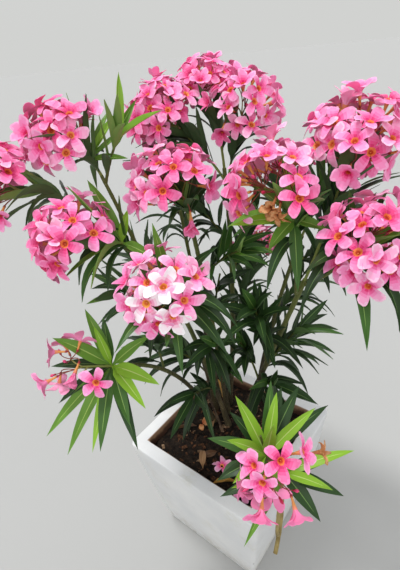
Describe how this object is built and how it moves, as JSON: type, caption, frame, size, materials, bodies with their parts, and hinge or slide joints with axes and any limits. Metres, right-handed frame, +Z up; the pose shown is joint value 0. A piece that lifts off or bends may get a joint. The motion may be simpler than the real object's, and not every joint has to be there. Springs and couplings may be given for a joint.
{
  "type": "potted oleander",
  "caption": "Flowering oleander shrub with several leaning stems, whorls of narrow leaves and domed pink trusses, growing in a square tapering white pot.",
  "frame": {"origin": "middle of the pot's flat underside", "axes": "+Z up; the pot's four sides face along X and Y, and its front side faces -Y"},
  "size_m": [0.7239, 0.7163, 1.2576],
  "materials": {
    "pot_paint": "white masonry paint, slightly weathered",
    "soil": "damp dark potting soil with bark bits",
    "bark": "smooth olive to grey-brown bark",
    "dead_wood": "dull dry wood",
    "leaf": "leathery leaf with a pale midrib",
    "blossom": "soft satin petal, pink with a deeper middle"
  },
  "bodies": {
    "root": {"pot": "pot_paint", "soil": "soil", "stem_middle_back": "bark", "stem_middle_front": "bark", "stem_front": "bark", "stem_left": "bark", "stem_right": "bark", "stem_low_left": "bark", "stem_low_right": "bark", "stem_back_right": "bark", "stem_back_left": "bark", "dead_stick": "dead_wood", "bough_left_high": "bark", "bough_left_outer": "bark", "bough_right_front": "bark", "bough_right_outer": "bark", "bough_low_right": "bark", "blossom_top_left": "blossom", "blossom_top_middle": "blossom", "blossom_top_right": "blossom", "blossom_middle": "blossom", "blossom_right_front": "blossom", "blossom_right_top": "blossom", "blossom_right_outer": "blossom", "blossom_left_high": "blossom", "blossom_left_outer": "blossom", "blossom_left_front": "blossom", "blossom_front": "blossom", "blossom_low_left": "blossom", "blossom_low_right": "blossom", "blossom_back_left": "blossom", "blossom_back_left_low": "blossom", "blossom_back_middle": "blossom", "blossom_back_right": "blossom", "blossom_back_right_low": "blossom", "blossom_back_low": "blossom", "leaves_left_young": "leaf", "leaves_low_left": "leaf", "leaves_low_right_young": "leaf", "leaves_left": "leaf", "leaves_left_low": "leaf", "leaves_back_left": "leaf", "leaves_middle": "leaf", "leaves_middle_low": "leaf", "leaves_front": "leaf", "leaves_front_low": "leaf", "leaves_right": "leaf", "leaves_right_low": "leaf", "leaves_back": "leaf", "leaves_back_low": "leaf", "leaves_high": "leaf", "leaves_high_front": "leaf", "leaves_left_front": "leaf", "leaves_centre": "leaf", "leaves_high_back": "leaf", "leaves_back_right": "leaf"}
  },
  "joints": []
}
